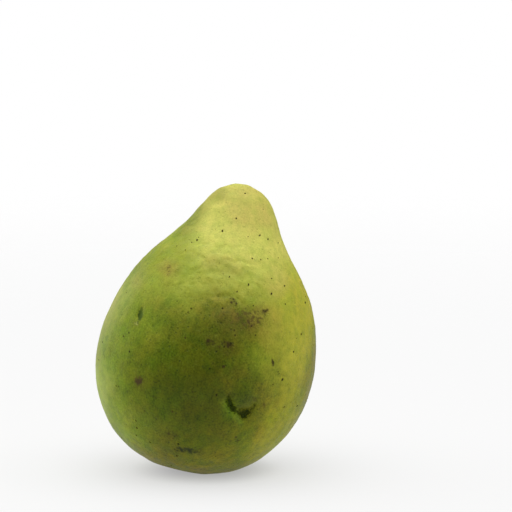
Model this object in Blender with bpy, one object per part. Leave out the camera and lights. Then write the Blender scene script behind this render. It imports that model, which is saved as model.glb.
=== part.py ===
"""A pear-shaped guava as picked: the fruit, its dried calyx and the corky scar of its stalk.

Metres, +Z up. The origin is on the surface that the fruit stands on, below the middle of its box.
The fruit's own axis runs from the calyx pit up to the stem pit. It leans to the right and a
little back, so the fruit stands on a small flat spot beside its calyx. Front is -Y.
"""
import math

import bmesh
import bpy
from mathutils import Euler, Matrix, Vector

MM = 0.001

# The fruit's own axis, from the place of its lower pole
POLE_PLACE = (-9.75 * MM, -4.5 * MM, 0.4 * MM)
LEAN_RIGHT = math.radians(13.5)
LEAN_BACK = math.radians(7.0)

# Half outline of the fruit: distance from its axis, and height along it
FRUIT_LENGTH = 99.0 * MM
PIT_OUTLINE = ((0.0, 3.4), (5.9, 3.3), (7.2, 1.8), (8.7, 1.1))
BODY_OUTLINE = ((11.7, 1.7), (21.6, 6.4), (29.2, 14.2), (34.5, 24.5), (36.6, 37.0), (35.3, 49.5))
NECK_OUTLINE = ((31.3, 62.3), (26.6, 70.4), (20.7, 77.8), (16.0, 84.4), (12.7, 90.3), (9.2, 95.3))
STEM_OUTLINE = ((5.1, 98.2), (3.3, 97.6), (2.2, 96.3), (0.0, 96.1))
STEPS_PER_SPAN = 3
SIDES = 60

# Low swellings of the body, which fade out at both ends
BOW = 0.7 * MM
RIB_COUNT = 5
RIB_HEIGHT = 0.3 * MM
RIB_TURN = math.radians(35)
FLANK_HEIGHT = 0.25 * MM
FLANK_TURN = math.radians(70)
PUCKER_COUNT = 6
PUCKER_HEIGHT = 0.18 * MM
PUCKER_RADIUS = 4.9 * MM
PUCKER_WIDTH = 1.6 * MM

# The end of the neck is tilted back from the lean, so that the stem pit faces up
CROWN_TILT = math.radians(7)
CROWN_LIFT = 0.2 * MM
CROWN_FOOT = 87.0 * MM
CROWN_TOP = 97.0 * MM

# Calyx: a small disc and the five sepals that fold in over it, more open on the side off the floor
DISC_OUTLINE = ((0.0, 3.0), (5.0, 2.95), (5.8, 2.5), (5.5, 2.15), (1.8, 2.1), (0.9, 2.4), (0.0, 2.4))
DISC_SIDES = 30
SEPAL_COUNT = 5
SEPAL_PATH = ((5.2, 2.6), (5.1, 2.0), (4.6, 1.5), (3.5, 1.25), (2.2, 1.35))
SEPAL_WIDTHS = (4.2, 5.2, 4.6, 3.0, 1.1)
SEPAL_THICKNESS = 0.7 * MM
SEPAL_CURL = 0.25 * MM
SEPAL_LIFT = 1.3 * MM
FLOOR_SIDE = math.radians(25)

# Stem scar: a domed corky plug with a dimple, clear of its pit all round
SCAR_OUTLINE = ((0.0, 96.5), (1.5, 96.55), (2.1, 96.9), (1.8, 97.45), (0.9, 97.55), (0.0, 97.3))
SCAR_SIDES = 20


def clear_scene():
    for obj in list(bpy.data.objects):
        bpy.data.objects.remove(obj, do_unlink=True)


def make_material(name, colour, roughness):
    material = bpy.data.materials.new(name)
    material.use_nodes = True
    shader = material.node_tree.nodes["Principled BSDF"]
    shader.inputs["Base Color"].default_value = (*colour, 1.0)
    shader.inputs["Roughness"].default_value = roughness
    shader.inputs["Metallic"].default_value = 0.0
    return material


def smooth_outline(points, steps):
    """Points of a curve with automatic handles through a half outline given in millimetres."""
    curve = bpy.data.curves.new("outline", "CURVE")
    curve.dimensions = "3D"
    curve.resolution_u = steps
    spline = curve.splines.new("BEZIER")
    spline.bezier_points.add(len(points) - 1)
    for knot, (radius, height) in zip(spline.bezier_points, points):
        knot.co = (radius * MM, 0.0, height * MM)
        knot.handle_left_type = "AUTO"
        knot.handle_right_type = "AUTO"
    guide = bpy.data.objects.new("outline", curve)
    bpy.context.scene.collection.objects.link(guide)
    bpy.context.view_layer.update()
    outline = [vertex.co.copy() for vertex in guide.to_mesh().vertices]
    bpy.data.objects.remove(guide, do_unlink=True)
    bpy.data.curves.remove(curve)
    return outline


def turned_mesh(outline, sides):
    """Closed bmesh made by spinning an outline, which starts and ends on the axis, round Z."""
    bm = bmesh.new()
    ring = [bm.verts.new((max(point.x, 0.0), 0.0, point.z)) for point in outline]
    ring[0].co.x = 0.0
    ring[-1].co.x = 0.0
    edges = [bm.edges.new(pair) for pair in zip(ring, ring[1:])]
    bmesh.ops.spin(bm, geom=ring + edges, cent=(0, 0, 0), axis=(0, 0, 1),
                   angle=math.tau, steps=sides, use_merge=True)
    bmesh.ops.remove_doubles(bm, verts=bm.verts, dist=0.02 * MM)
    bmesh.ops.recalc_face_normals(bm, faces=bm.faces)
    return bm


def add_object(name, bm, material, parent):
    mesh = bpy.data.meshes.new(name)
    bm.to_mesh(mesh)
    bm.free()
    mesh.materials.append(material)
    mesh.shade_smooth()
    obj = bpy.data.objects.new(name, mesh)
    obj.parent = parent
    bpy.context.scene.collection.objects.link(obj)
    return obj


def fruit_axis():
    """Empty at the lower pole, turned so that its Z runs along the fruit."""
    empty = bpy.data.objects.new("fruit_axis", None)
    empty.location = POLE_PLACE
    empty.rotation_euler = (-LEAN_BACK, LEAN_RIGHT, 0.0)
    bpy.context.scene.collection.objects.link(empty)
    return empty


def swell(point):
    """How far the skin stands out from the turned outline at a point, along its radius."""
    radius = math.hypot(point.x, point.y)
    angle = math.atan2(point.y, point.x)
    along = min(max(point.z / FRUIT_LENGTH, 0.0), 1.0)
    fade = math.sin(math.pi * along) ** 2
    ribs = RIB_HEIGHT * math.cos(RIB_COUNT * angle + RIB_TURN)
    flanks = FLANK_HEIGHT * math.cos(2 * angle - FLANK_TURN + 3 * along)
    return (ribs + flanks) * fade if radius > 0 else 0.0


def pucker(point):
    """How far the lip of the stem pit rises at a point."""
    if point.z < 0.9 * FRUIT_LENGTH:
        return 0.0
    radius = math.hypot(point.x, point.y)
    angle = math.atan2(point.y, point.x)
    lip = math.exp(-((radius - PUCKER_RADIUS) / PUCKER_WIDTH) ** 2)
    return PUCKER_HEIGHT * lip * math.cos(PUCKER_COUNT * angle)


def crown(point):
    """How far a point of the neck's end moves as that end is tilted to the left and lifted."""
    part_way = min(max((point.z - CROWN_FOOT) / (CROWN_TOP - CROWN_FOOT), 0.0), 1.0)
    ease = part_way * part_way * (3 - 2 * part_way)
    tilt = math.tan(CROWN_TILT)
    return Vector((-tilt * (point.z - CROWN_FOOT), 0.0, tilt * point.x + CROWN_LIFT)) * ease


def build_fruit(axis, material):
    points = PIT_OUTLINE + BODY_OUTLINE + NECK_OUTLINE + STEM_OUTLINE
    bm = turned_mesh(smooth_outline(points, STEPS_PER_SPAN), SIDES)
    for vertex in bm.verts:
        point = vertex.co.copy()
        radius = math.hypot(point.x, point.y)
        along = min(max(point.z / FRUIT_LENGTH, 0.0), 1.0)
        if radius > 0:
            growth = 1 + swell(point) / radius
            vertex.co.x = point.x * growth
            vertex.co.y = point.y * growth
        vertex.co.x += BOW * math.sin(math.pi * along)
        vertex.co.z += pucker(point)
        vertex.co += crown(point)
    stand_on_floor(bm, axis)
    return add_object("fruit", bm, material, axis)


def stand_on_floor(bm, axis):
    """Cut the fruit flat where it would sink below the surface that it stands on."""
    turn = Euler(axis.rotation_euler).to_matrix()
    to_axis = Matrix.LocRotScale(axis.location, turn, None).inverted()
    floor_point = to_axis @ Vector((0, 0, 0))
    floor_normal = turn.inverted() @ Vector((0, 0, 1))
    geometry = bm.verts[:] + bm.edges[:] + bm.faces[:]
    bmesh.ops.bisect_plane(bm, geom=geometry, dist=0.001 * MM, plane_co=floor_point,
                           plane_no=floor_normal, clear_inner=True)
    rim = [edge for edge in bm.edges if edge.is_boundary]
    bmesh.ops.holes_fill(bm, edges=rim, sides=0)
    bmesh.ops.recalc_face_normals(bm, faces=bm.faces)
    bmesh.ops.triangulate(bm, faces=[face for face in bm.faces if len(face.verts) > 4])


def sepal_mesh(index):
    """One folded sepal: a tapered blade of even thickness along its path, curled by its number."""
    bm = bmesh.new()
    angle = math.tau * index / SEPAL_COUNT
    turn = Matrix.Rotation(angle, 4, "Z")
    lift = SEPAL_LIFT * (1 - math.cos(angle - FLOOR_SIDE)) / 2
    sections = []
    for step, ((radius, height), width) in enumerate(zip(SEPAL_PATH, SEPAL_WIDTHS)):
        ahead = SEPAL_PATH[min(step + 1, len(SEPAL_PATH) - 1)]
        behind = SEPAL_PATH[max(step - 1, 0)]
        along = Vector((ahead[0] - behind[0], 0, ahead[1] - behind[1])).normalized()
        outward = Vector((along.z, 0, -along.x)) * SEPAL_THICKNESS / 2
        curl = SEPAL_CURL * math.sin(2.4 * index + step)
        opened = lift * step / (len(SEPAL_PATH) - 1)
        middle = Vector((radius * MM, curl, height * MM - opened))
        side = Vector((0, width * MM / 2, 0))
        corners = (middle - side - outward, middle + side - outward,
                   middle + side + outward, middle - side + outward)
        sections.append([bm.verts.new(turn @ corner) for corner in corners])
    for lower, upper in zip(sections, sections[1:]):
        for corner in range(4):
            following = (corner + 1) % 4
            bm.faces.new((lower[corner], lower[following], upper[following], upper[corner]))
    bm.faces.new(reversed(sections[0]))
    bm.faces.new(sections[-1])
    bmesh.ops.triangulate(bm, faces=bm.faces)
    bmesh.ops.recalc_face_normals(bm, faces=bm.faces)
    return bm


def build_calyx(axis, material):
    """The disc with its sepals joined to it in one union."""
    calyx = add_object("calyx", turned_mesh(outline_points(DISC_OUTLINE), DISC_SIDES), material, axis)
    sepals = bpy.data.collections.new("sepals")
    bpy.context.scene.collection.children.link(sepals)
    for index in range(SEPAL_COUNT):
        sepal = add_object(f"sepal_{index}", sepal_mesh(index), material, axis)
        bpy.context.scene.collection.objects.unlink(sepal)
        sepals.objects.link(sepal)
    union = calyx.modifiers.new("join", "BOOLEAN")
    union.operation = "UNION"
    union.solver = "EXACT"
    union.operand_type = "COLLECTION"
    union.collection = sepals
    bpy.context.view_layer.update()
    joined = bpy.data.meshes.new_from_object(calyx.evaluated_get(bpy.context.evaluated_depsgraph_get()))
    calyx.modifiers.remove(union)
    calyx.data = joined
    for sepal in list(sepals.objects):
        bpy.data.objects.remove(sepal, do_unlink=True)
    bpy.data.collections.remove(sepals)
    return calyx


def outline_points(points):
    return [Vector((radius * MM, 0.0, height * MM)) for radius, height in points]


def build_stem_scar(axis, material):
    bm = turned_mesh(outline_points(SCAR_OUTLINE), SCAR_SIDES)
    for vertex in bm.verts:
        vertex.co += crown(vertex.co)
    return add_object("stem_scar", bm, material, axis)


clear_scene()
fruit_line = fruit_axis()
build_fruit(fruit_line, make_material("guava_skin", (0.42, 0.45, 0.10), 0.4))
build_calyx(fruit_line, make_material("dried_calyx", (0.10, 0.06, 0.03), 0.9))
build_stem_scar(fruit_line, make_material("corky_scar", (0.30, 0.20, 0.11), 0.9))
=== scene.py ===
"""The looks of a pear-shaped guava as picked: its skin, its dried calyx and its stem scar.

Metres, +Z up, in the frame of the CAD model, with the front at -Y. Places on the fruit are given by
turn, in degrees round its own axis from the front towards the right, and by height, in millimetres
along that axis from the calyx end.
"""
import math

import bmesh
import bpy
from mathutils import Euler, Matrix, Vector


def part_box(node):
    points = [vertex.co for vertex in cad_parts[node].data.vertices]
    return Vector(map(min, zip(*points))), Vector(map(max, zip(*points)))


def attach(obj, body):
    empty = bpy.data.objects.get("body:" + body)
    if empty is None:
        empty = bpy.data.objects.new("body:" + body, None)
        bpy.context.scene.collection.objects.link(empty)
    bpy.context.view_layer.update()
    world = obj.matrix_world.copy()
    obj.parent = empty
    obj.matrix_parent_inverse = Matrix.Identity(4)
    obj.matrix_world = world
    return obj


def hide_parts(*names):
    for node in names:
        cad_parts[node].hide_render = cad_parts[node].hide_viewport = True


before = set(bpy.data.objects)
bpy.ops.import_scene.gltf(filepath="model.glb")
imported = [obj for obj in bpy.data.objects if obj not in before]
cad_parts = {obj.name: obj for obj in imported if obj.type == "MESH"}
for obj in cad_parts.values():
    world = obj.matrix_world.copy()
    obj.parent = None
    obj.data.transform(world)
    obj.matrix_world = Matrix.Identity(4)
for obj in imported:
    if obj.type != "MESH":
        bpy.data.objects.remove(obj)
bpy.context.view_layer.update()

# The skin is the whole outside of the fruit, grown in one piece: a thin satin peel on firm flesh,
# with low ribs, dimples and a few old creases. It closes over the flesh at both pits, so it is one
# closed mesh, turned from the fruit's outline and then swelled and dented as it grew.

MM = 0.001
POLE_PLACE = Vector((-9.75, -4.5, 0.4)) * MM
FRUIT_TURN = Euler((math.radians(-7.0), math.radians(13.5), 0.0))
FRUIT_LENGTH = 99.0
PIT_OUTLINE = ((0.0, 3.4), (5.9, 3.3), (7.2, 1.8), (8.7, 1.1))
BODY_OUTLINE = ((11.7, 1.7), (21.6, 6.4), (29.2, 14.2), (34.5, 24.5), (36.6, 37.0), (35.3, 49.5))
NECK_OUTLINE = ((31.3, 62.3), (26.6, 70.4), (20.7, 77.8), (16.0, 84.4), (12.7, 90.3), (9.2, 95.3))
STEM_OUTLINE = ((5.1, 98.2), (3.3, 97.6), (2.2, 96.3), (0.0, 96.1))
STEPS_PER_SPAN = 16
SKIN_SIDES = 320
SKIN_RINGS = 300

RIB_COUNT = 5
RIB_TURN = math.radians(35)
FLANK_COUNT = 2
FLANK_TURN = math.radians(70)
FLANK_TWIST = 3.0
TOP_END = (0.89, 0.93)
PUCKER_COUNT = 6
PUCKER_RADIUS = 4.9
PUCKER_WIDTH = 1.6
SADDLE_COUNT = 2
SADDLE_WIDTH = 3.6
CROWN_TILT = math.tan(math.radians(7))
CROWN_LIFT = 0.2
CROWN_FOOT = 87.0
CROWN_TOP = 97.0
SKIN_SIZES = {
    "Length": FRUIT_LENGTH,
    "Bow": 0.7,
    "Rib height": 0.3,
    "Flank height": 0.25,
    "Pucker height": 0.10,
    "Saddle height": 0.7,
    "Wave height": 0.60,
    "Dimple height": 0.22,
    "Furrow height": 0.40,
    "Wrinkle height": 0.34,
    "Crease depth": 1.5,
    "Pit depth": 0.55,
}
FLOOR_SOFTNESS = 0.15

# Old injuries of the skin, by turn and height
CREASE_LINES = (
    ((16.5, 30.6), (17.6, 28.4)),
    ((21.6, 26.1), (24.2, 25.8), (26.6, 25.6)),
    ((30.4, 26.3), (31.6, 27.4), (32.7, 29.0)),
)
CREASE_CUTS = (
    ((17.6, 28.4), (19.2, 27.2), (21.6, 26.1)),
    ((26.0, 25.8), (30.4, 26.3), (28.7, 24.6), (26.0, 25.8)),
)
LINE_SHARE = 0.5
CREASE_WIDTHS = (0.8, 1.0)
PINCH_WIDTHS = (3.6, 3.2)
PINCH_SHARE = 0.4
# The crease's lower lip, along which a painted highlight runs: a brighter green where light from above would
# fall
CREASE_LIP_HIGHLIGHT = ((15.7, 27.4), (19.3, 25.2), (24.4, 23.7), (28.3, 22.7))
CREASE_LOBE = (25, 30.2)
LOBE_WIDTH = 3.4
LOBE_SHARE = 0.45
SLIT = ((-42.6, 50.6), (-43.2, 48.0))
SLIT_WIDTH = 0.8

# Where the relief lies, by distance from the axis or by height, and the sizes and shares of its noises
CALYX_CLEAR = (8.0, 14.0)
STEM_CLEAR = (4.5, 9.0)
NECK_START = (60.0, 75.0)
WAVE_SIZE = 24.0
DIMPLE_SIZE = 4.5
FURROW_SIZE = 7.0
FURROW_STRETCH = (1.0, 1.0, 0.16)
COARSE_WRINKLES = (7.0, 0.10)
FINE_WRINKLES = (4.0, 0.12)
FINE_SHARE = 0.5
SHOULDER_FOOT = (50.0, 62.0)
SHOULDER_TOP = (84.0, 72.0)
SMOOTH_SHARE = 0.15

# The patch of the front that is wrinkled most: turn, height, half width and half height
WRINKLED_FRONT = (-3, 67, 26, 20)
SIDE_SHARE = 0.3


class Socket:
    """A node's output: sums on it add Math nodes to its tree, and node() adds any other node."""

    def __init__(self, tree, output=None):
        self.tree = tree
        self.output = output

    def node(self, kind, settings=None, values=None, output=0):
        """Adds a node, with its settings set before the values or links of its sockets."""
        made = self.tree.nodes.new(kind)
        for name, setting in (settings or {}).items():
            if name == "stops":
                self.set_stops(made.color_ramp, setting)
            else:
                setattr(made, name, setting)
        for key, value in (values or {}).items():
            if isinstance(value, Socket):
                self.tree.links.new(value.output, made.inputs[key])
            else:
                made.inputs[key].default_value = value
        return Socket(self.tree, made.outputs[output] if made.outputs else None)

    @staticmethod
    def set_stops(ramp, stops):
        while len(ramp.elements) < len(stops):
            ramp.elements.new(1.0)
        for element, (position, colour) in zip(ramp.elements, stops):
            element.position = position
            element.color = (*colour, 1.0)

    def beside(self, name):
        """Another output of the same node."""
        return Socket(self.tree, self.output.node.outputs[name])

    def math(self, operation, *others, clamp=False):
        settings = {"operation": operation, "use_clamp": clamp}
        return self.node("ShaderNodeMath", settings, dict(enumerate((self, *others))))

    def vector(self, operation, *others):
        output = "Value" if operation in ("LENGTH", "DISTANCE", "DOT_PRODUCT") else "Vector"
        values = dict(enumerate((self, *others)))
        return self.node("ShaderNodeVectorMath", {"operation": operation}, values, output)

    def scaled(self, size):
        return self.node("ShaderNodeVectorMath", {"operation": "SCALE"}, {"Vector": self, "Scale": size})

    def xyz(self, x, y, z):
        """A vector of three parts, in the same tree."""
        return self.node("ShaderNodeCombineXYZ", {}, {"X": x, "Y": y, "Z": z})

    def parts(self):
        x = self.node("ShaderNodeSeparateXYZ", {}, {"Vector": self}, "X")
        return x, x.beside("Y"), x.beside("Z")

    def between(self, low, high, to_low=0.0, to_high=1.0):
        """Runs smoothly from to_low, where the value is low, to to_high, where it is high."""
        values = {"Value": self, "From Min": low, "From Max": high, "To Min": to_low, "To Max": to_high}
        return self.node("ShaderNodeMapRange", {"interpolation_type": "SMOOTHSTEP"}, values)

    def blend(self, first, second):
        """A colour between two, by this value."""
        return self.node("ShaderNodeMix", {"data_type": "RGBA"}, {0: self, 6: first, 7: second}, 2)

    def tinted(self, tint):
        """This colour multiplied by another, or by a value."""
        settings = {"data_type": "RGBA", "blend_type": "MULTIPLY"}
        return self.node("ShaderNodeMix", settings, {0: 1.0, 6: self, 7: tint}, 2)

    def noise(self, size, detail=2.0, output=0):
        """Noise with features of a size, from 0 to 1, at the place that this vector gives."""
        values = {"Vector": self, "Scale": 1.0 / size, "Detail": detail}
        return self.node("ShaderNodeTexNoise", {}, values, output)

    def swing(self, size, detail=2.0):
        """The same noise, from -0.5 to 0.5."""
        return self.noise(size, detail) - 0.5

    def jitter(self, size, detail=2.0):
        """The same noise as a vector, each part from -0.5 to 0.5."""
        return self.noise(size, detail, "Color").vector("SUBTRACT", (0.5, 0.5, 0.5))

    def position(self):
        """The places of the points that a Geometry Nodes tree works on."""
        return self.node("GeometryNodeInputPosition")

    def __add__(self, other):
        return self.math("ADD", other)

    def __sub__(self, other):
        return self.math("SUBTRACT", other)

    def __rsub__(self, other):
        return self.math("MULTIPLY_ADD", -1.0, other)

    def __mul__(self, other):
        return self.math("MULTIPLY", other)

    def __truediv__(self, other):
        return self.math("DIVIDE", other)

    def __rtruediv__(self, other):
        return self.node("ShaderNodeMath", {"operation": "DIVIDE"}, {0: other, 1: self})

    def __rpow__(self, other):
        return self.node("ShaderNodeMath", {"operation": "POWER"}, {0: other, 1: self})

    def __neg__(self):
        return self.math("MULTIPLY", -1.0)

    __radd__ = __add__
    __rmul__ = __mul__


def make_outline(points):
    """Curve object with automatic handles through a half outline given in millimetres."""
    curve = bpy.data.curves.new("outline", "CURVE")
    curve.dimensions = "3D"
    curve.resolution_u = STEPS_PER_SPAN
    spline = curve.splines.new("BEZIER")
    spline.bezier_points.add(len(points) - 1)
    for knot, (radius, height) in zip(spline.bezier_points, points):
        knot.co = (radius, 0.0, height)
        knot.handle_left_type = "AUTO"
        knot.handle_right_type = "AUTO"
    outline = bpy.data.objects.new("outline", curve)
    bpy.context.scene.collection.objects.link(outline)
    bpy.context.view_layer.update()
    return outline


def skin_radius(height):
    """Distance of the skin from the fruit's axis, on the outside, at a height along it."""
    for lower, upper in zip(outline_line, outline_line[1:]):
        if lower.z <= height < upper.z and lower.x > PUCKER_RADIUS:
            return lower.lerp(upper, (height - lower.z) / (upper.z - lower.z)).x
    return 0.0


def map_point(turn, height):
    """A place on the unrolled skin, as skin_map gives it."""
    return Vector((math.radians(turn) * skin_radius(height), 0.0, height))


def skin_map(place):
    """The unrolled skin in millimetres, with arc from the front line as X and height as Z, and the girth."""
    x, y, height = place.parts()
    girth = (x * x + y * y).math("SQRT")
    arc = x.math("ARCTAN2", -y) * girth
    return place.xyz(arc, 0.0, height), girth


def path_distance(skin, places):
    """Distance on the unrolled skin from a line through places, in millimetres."""
    points = [map_point(*place) for place in places]
    nearest = None
    for start, end in zip(points, points[1:]):
        run = end - start
        from_start = skin.vector("SUBTRACT", start)
        along = from_start.vector("DOT_PRODUCT", run / run.length_squared).math("ADD", 0.0, clamp=True)
        values = {"Vector": run, "Scale": along}
        on_line = along.node("ShaderNodeVectorMath", {"operation": "SCALE"}, values)
        distance = from_start.vector("DISTANCE", on_line)
        nearest = distance if nearest is None else nearest.math("MINIMUM", distance)
    return nearest


def groove(distance, half_width):
    """Profile of a soft groove: 1 along its line, and next to nothing from twice its half width."""
    share = distance / half_width
    return math.e ** -(share * share)


def creased(skin, line_width, cut_width):
    """How far a place lies in the old crease, from 0 to 1: thin lines that join two open cuts."""
    depth = None
    for places in CREASE_CUTS:
        cut = groove(path_distance(skin, places), cut_width)
        depth = cut if depth is None else depth.math("MAXIMUM", cut)
    for places in CREASE_LINES:
        depth = depth.math("MAXIMUM", groove(path_distance(skin, places), line_width) * LINE_SHARE)
    return depth


def wrinkle_lines(place, size, width):
    """Thin winding lines: 1 where noise is at its middle value, and 0 from a width off that."""
    return place.swing(size, 3.0).math("ABSOLUTE").between(width, 0.0)


def new_tree(name, inputs, sizes):
    """An empty Geometry Nodes tree and its inputs by name, from tables of socket types and of sizes."""
    tree = bpy.data.node_groups.new(name, "GeometryNodeTree")
    kinds = dict(inputs)
    for label, size in sizes.items():
        kinds[label] = "NodeSocketInt" if isinstance(size, int) else "NodeSocketFloat"
    for label, kind in kinds.items():
        tree.interface.new_socket(label, in_out="INPUT", socket_type=kind)
    tree.interface.new_socket("Geometry", in_out="OUTPUT", socket_type="NodeSocketGeometry")
    entrance = tree.nodes.new("NodeGroupInput")
    return Socket(tree), {label: Socket(tree, entrance.outputs[label]) for label in kinds}


def grow(name, tree, sizes, mesh=None):
    """The plain mesh object that a tree makes, with its inputs set by name."""
    grown = bpy.data.objects.new(name, mesh or bpy.data.meshes.new(name))
    bpy.context.scene.collection.objects.link(grown)
    modifier = grown.modifiers.new(name, "NODES")
    modifier.node_group = tree
    for item in tree.interface.items_tree:
        if item.in_out == "INPUT" and item.name in sizes:
            modifier[item.identifier] = sizes[item.name]
    evaluated = grown.evaluated_get(bpy.context.evaluated_depsgraph_get())
    plain = bpy.data.meshes.new_from_object(evaluated)
    grown.modifiers.remove(modifier)
    grown.data = plain
    plain.name = name
    return grown


def outline_sample(outline, way):
    """The place on an outline a share of the way along it; its Tangent is beside it."""
    source = way.node("GeometryNodeObjectInfo", {}, {"Object": outline}, "Geometry")
    values = {"Curves": source, "Factor": way}
    return way.node("GeometryNodeSampleCurve", {"mode": "FACTOR"}, values, "Position")


def ball_mesh(start, sides, rings):
    """A ball of a radius of 1, whose points ball_on_outline places."""
    values = {"Segments": sides, "Rings": rings, "Radius": 1.0}
    return start.node("GeometryNodeMeshUVSphere", {}, values, "Mesh")


def ball_on_outline(start, outline):
    """For the points of a ball: their angle round the axis, and their place on a turned outline."""
    x, y, z = start.position().parts()
    upward = 1 - z.math("ARCCOSINE") / math.pi
    radius, _, height = outline_sample(outline, upward).parts()
    return y.math("ARCTAN2", x), radius.math("MAXIMUM", 0.0), height


def crowned(across, height):
    """The end of the neck, tilted back from the lean so that the stem pit faces up."""
    crown = height.between(CROWN_FOOT, CROWN_TOP)
    tilted_across = across - (height - CROWN_FOOT) * crown * CROWN_TILT
    return tilted_across, height + (across * CROWN_TILT + CROWN_LIFT) * crown


def set_place(geometry, place):
    """Geometry with its points at given places: a vector, or X, Y and Z."""
    if not isinstance(place, Socket):
        place = geometry.xyz(*place)
    return geometry.node("GeometryNodeSetPosition", {}, {"Geometry": geometry, "Position": place})


def pushed(geometry, offset):
    """Geometry with its points moved by an offset."""
    return geometry.node("GeometryNodeSetPosition", {}, {"Geometry": geometry, "Offset": offset})


def realized(geometry):
    return geometry.node("GeometryNodeRealizeInstances", {}, {"Geometry": geometry})


def painted(geometry, name, kind, value, domain="POINT"):
    """Geometry that carries a value or a colour for each of its points under a name."""
    settings = {"data_type": kind, "domain": domain}
    values = {"Geometry": geometry, "Name": name, "Value": value}
    return geometry.node("GeometryNodeStoreNamedAttribute", settings, values)


def leaned(geometry):
    """Geometry in the fruit's own frame, in millimetres, put where the leaning fruit is, in metres."""
    values = {"Geometry": geometry, "Translation": POLE_PLACE, "Rotation": FRUIT_TURN,
              "Scale": (MM, MM, MM)}
    return geometry.node("GeometryNodeTransform", {}, values)


def stand_up(geometry):
    """Puts a piece where the fruit stands, and presses flat what would go below the floor."""
    standing = leaned(geometry)
    x, y, z = geometry.position().parts()
    return set_place(standing, (x, y, z.math("SMOOTH_MAX", 0.0, FLOOR_SOFTNESS * MM)))


def finish_piece(geometry, material):
    smooth_values = {"Geometry": geometry, "Shade Smooth": True}
    smooth = geometry.node("GeometryNodeSetShadeSmooth", {}, smooth_values)
    material_values = {"Geometry": realized(smooth), "Material": material}
    finished = geometry.node("GeometryNodeSetMaterial", {}, material_values)
    geometry.node("NodeGroupOutput", {}, {"Geometry": finished})


def turned_form(start, sizes):
    """The fruit's form from its outline: ribs, flatter flanks, a bow, a puckered pit, a tilted end."""
    angle, radius, height = ball_on_outline(start, sizes["Outline"])
    along = (height / sizes["Length"]).math("ADD", 0.0, clamp=True)
    belly = (along * math.pi).math("SINE")
    ribs = sizes["Rib height"] * (angle * RIB_COUNT + RIB_TURN).math("COSINE")
    flank_angle = angle * FLANK_COUNT - FLANK_TURN + along * FLANK_TWIST
    flanks = sizes["Flank height"] * flank_angle.math("COSINE")
    reach = radius + (ribs + flanks) * belly * belly
    top_end = along.between(*TOP_END)
    lip = groove(radius - PUCKER_RADIUS, PUCKER_WIDTH) * top_end
    pucker = sizes["Pucker height"] * lip * (angle * PUCKER_COUNT).math("COSINE")
    brim = groove(radius - PUCKER_RADIUS, SADDLE_WIDTH) * top_end
    saddle = sizes["Saddle height"] * brim * (angle * SADDLE_COUNT).math("COSINE")
    across = reach * angle.math("COSINE") + sizes["Bow"] * belly
    tilted_across, tilted_height = crowned(across, height)
    return tilted_across, reach * angle.math("SINE"), tilted_height + pucker - saddle


def skin_relief(start, sizes):
    """How far the skin stands out from that form, with its old creases."""
    place = start.position()
    skin, girth = skin_map(place)
    height = place.parts()[2]
    neck = height.between(*NECK_START) * girth.between(*STEM_CLEAR)
    outside = girth.between(*CALYX_CLEAR).math("MAXIMUM", neck)
    waves = place.swing(WAVE_SIZE) * sizes["Wave height"]
    dimples = place.swing(DIMPLE_SIZE) * sizes["Dimple height"]
    lengthwise = place.vector("MULTIPLY", FURROW_STRETCH)
    furrows = lengthwise.swing(FURROW_SIZE, 3.0) * sizes["Furrow height"]
    shoulder = height.between(*SHOULDER_FOOT) * height.between(*SHOULDER_TOP)
    wrinkled = SMOOTH_SHARE + shoulder * (1 - SMOOTH_SHARE)
    front = spot(skin, *WRINKLED_FRONT).math("MAXIMUM", SIDE_SHARE)
    lines = wrinkle_lines(place, *COARSE_WRINKLES) + wrinkle_lines(place, *FINE_WRINKLES) * FINE_SHARE
    wrinkles = lines * wrinkled * front * sizes["Wrinkle height"]
    pinch = creased(skin, *PINCH_WIDTHS) * PINCH_SHARE
    lobe = groove(skin.vector("DISTANCE", map_point(*CREASE_LOBE)), LOBE_WIDTH) * LOBE_SHARE
    crease = (creased(skin, *CREASE_WIDTHS) + pinch - lobe) * sizes["Crease depth"]
    slit = groove(path_distance(skin, SLIT), SLIT_WIDTH) * sizes["Pit depth"]
    return (waves + dimples + furrows - wrinkles) * outside - (crease + slit)


# Colours of the skin, from the calyx end up, and then of the blotches, stains and tints on it. The ramp is
# partly the skin's own colour and partly painted shade: darker towards the calyx end and the floor
SKIN_AND_SHADE_RAMP = (
    (0.00, (0.155, 0.148, 0.003)),
    (0.09, (0.180, 0.188, 0.005)),
    (0.20, (0.178, 0.200, 0.006)),
    (0.38, (0.190, 0.215, 0.009)),
    (0.56, (0.285, 0.322, 0.026)),
    (0.67, (0.40, 0.43, 0.054)),
    (0.80, (0.61, 0.605, 0.120)),
    (0.99, (0.58, 0.540, 0.112)),
)
# Partly the belly's own dark green and olive, partly painted shade on the dim camera side
BELLY_GREEN_AND_SHADE = (0.063, 0.082, 0.001, 1.0)
BELLY_OLIVE_AND_SHADE = (0.072, 0.088, 0.001, 1.0)
MOSS_GREEN = (0.105, 0.160, 0.003, 1.0)
LOW_OLIVE = (0.105, 0.110, 0.002, 1.0)
LOW_GREEN = (0.250, 0.330, 0.024, 1.0)
FLANK_YELLOW = (0.465, 0.44, 0.036, 1.0)
# Partly the flank's own olive-gold, partly painted shade for the right edge
FLANK_GOLD_AND_SHADE = (0.17, 0.160, 0.002, 1.0)
LEFT_GREEN = (0.187, 0.275, 0.013, 1.0)
SHOULDER_GREEN = (0.23, 0.295, 0.010, 1.0)
# Partly a waxy bloom, partly painted rim light and reflection on the left side
BLOOM_AND_SHEEN = (0.37, 0.40, 0.085, 1.0)
LOW_BLOOM_AND_SHEEN = (0.38, 0.46, 0.075, 1.0)
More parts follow.
